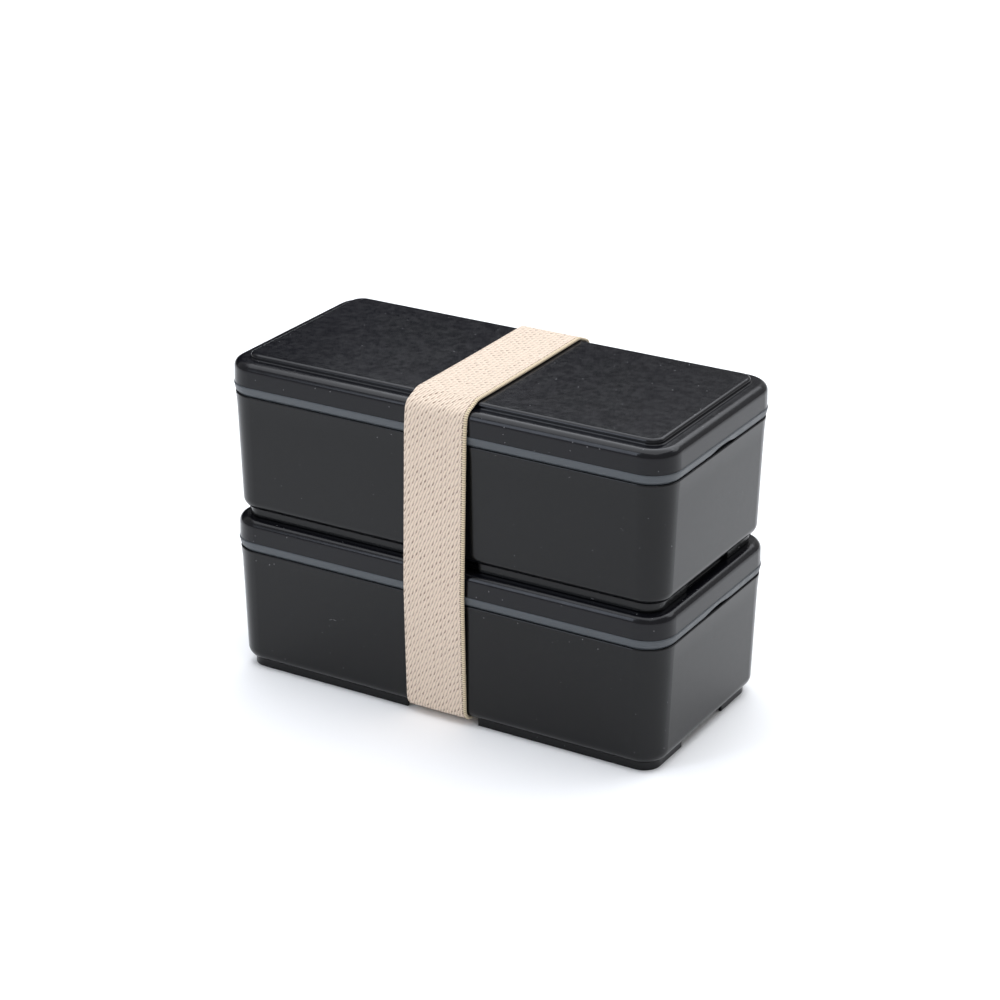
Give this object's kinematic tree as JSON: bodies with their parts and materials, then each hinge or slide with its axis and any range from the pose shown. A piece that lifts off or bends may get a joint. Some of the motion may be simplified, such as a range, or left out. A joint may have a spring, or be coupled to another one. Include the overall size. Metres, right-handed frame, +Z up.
{
  "type": "bento lunch box",
  "caption": "Stacked bento lunch box with sealed lift-off lids and foot rings, held shut by a wide elastic strap round its middle.",
  "frame": {"origin": "middle of the box's length and width, on the surface that the lower tier's foot ring stands on", "axes": "+X along the box's length, +Y across it to the back, +Z up through the stacked tiers"},
  "size_m": [0.1748, 0.0877, 0.1214],
  "materials": {
    "tub_plastic": "satin moulded black",
    "lid_plastic": "satin moulded black",
    "liner_plastic": "satin moulded black",
    "seal_silicone": "matt grey silicone",
    "strap_elastic": "ribbed woven elastic, cream",
    "strap_thread": "twisted thread"
  },
  "bodies": {
    "lower_tier": {"lower_tub": "tub_plastic"},
    "lower_lid": {"lower_seal": "seal_silicone", "lower_lid_liner": "liner_plastic", "lower_lid_cover": "lid_plastic"},
    "upper_tier": {"upper_tub": "tub_plastic"},
    "upper_lid": {"upper_seal": "seal_silicone", "upper_lid_liner": "liner_plastic", "upper_lid_cover": "lid_plastic"},
    "elastic_strap": {"strap": "strap_elastic", "strap_stitching": "strap_thread"}
  },
  "joints": [
    {"name": "strap_slide", "type": "slide", "parent": "lower_tier", "child": "elastic_strap", "axis": [1, 0, 0], "range_m": [0, 0.12], "deforming": ["strap"]},
    {"name": "lower_lid_lift", "type": "slide", "parent": "lower_tier", "child": "lower_lid", "axis": [0, 0, 1], "range_m": [0, 0.06]},
    {"name": "upper_tier_lift", "type": "slide", "parent": "lower_lid", "child": "upper_tier", "axis": [0, 0, 1], "range_m": [0, 0.06]},
    {"name": "upper_lid_lift", "type": "slide", "parent": "upper_tier", "child": "upper_lid", "axis": [0, 0, 1], "range_m": [0, 0.06]}
  ],
  "couplings": [
    {"joint": "lower_lid_lift", "follows": "strap_slide", "ratio": 0.5},
    {"joint": "upper_tier_lift", "follows": "strap_slide", "ratio": 0.5},
    {"joint": "upper_lid_lift", "follows": "strap_slide", "ratio": 0.5}
  ]
}
